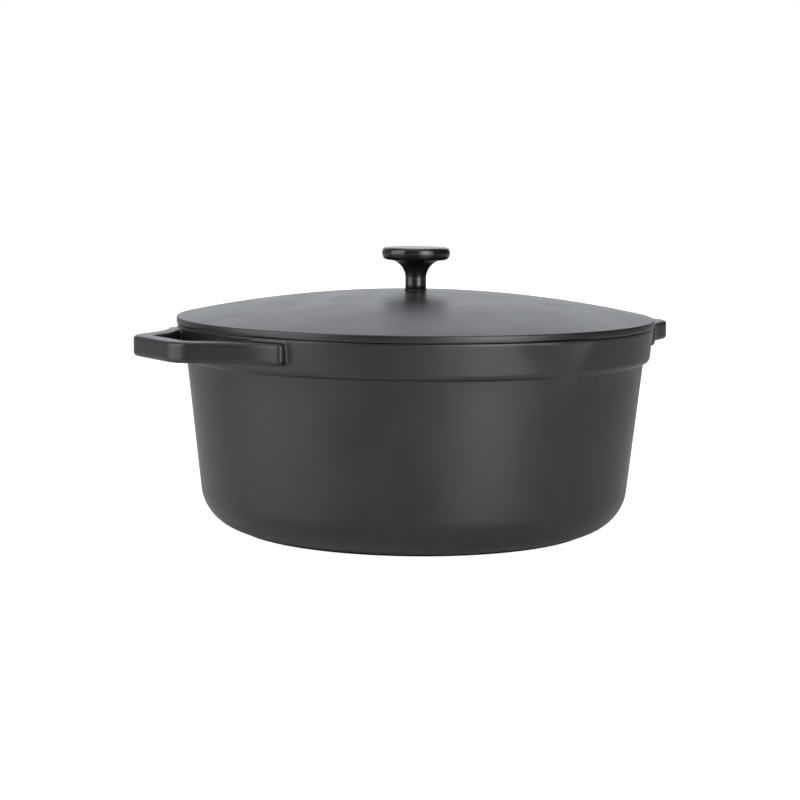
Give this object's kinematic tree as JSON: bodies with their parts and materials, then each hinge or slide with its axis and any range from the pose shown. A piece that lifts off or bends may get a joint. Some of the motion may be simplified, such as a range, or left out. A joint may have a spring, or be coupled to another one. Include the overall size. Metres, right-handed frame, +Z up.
{
  "type": "cast iron dutch oven",
  "caption": "Round black cast iron dutch oven with loop handles, pour spouts and a domed lid with a screwed-on mushroom knob that lifts off.",
  "frame": {"origin": "centre of the base, on the surface that the pot stands on", "axes": "+Z up; +X through one loop handle, with the other on -X; the two pour spouts are on +Y and -Y"},
  "size_m": [0.3704, 0.311, 0.1758],
  "materials": {
    "black_iron": "fine-grained satin black, seasoned or matte enamelled",
    "knob_black": "satin-gloss moulded phenolic",
    "insert_brass": "turned",
    "gasket_rubber": "matte",
    "fixing_steel": "satin stainless"
  },
  "bodies": {
    "pot": {"pot_body": "black_iron"},
    "lid": {"lid": "black_iron", "knob": "knob_black", "knob_threaded_insert": "insert_brass", "knob_gasket": "gasket_rubber", "knob_screw": "fixing_steel", "knob_lock_washer": "fixing_steel", "knob_flat_washer": "fixing_steel"}
  },
  "joints": [
    {"name": "lid_lift", "type": "slide", "parent": "pot", "child": "lid", "axis": [0, 0, 1], "range_m": [0, 0.25]}
  ]
}
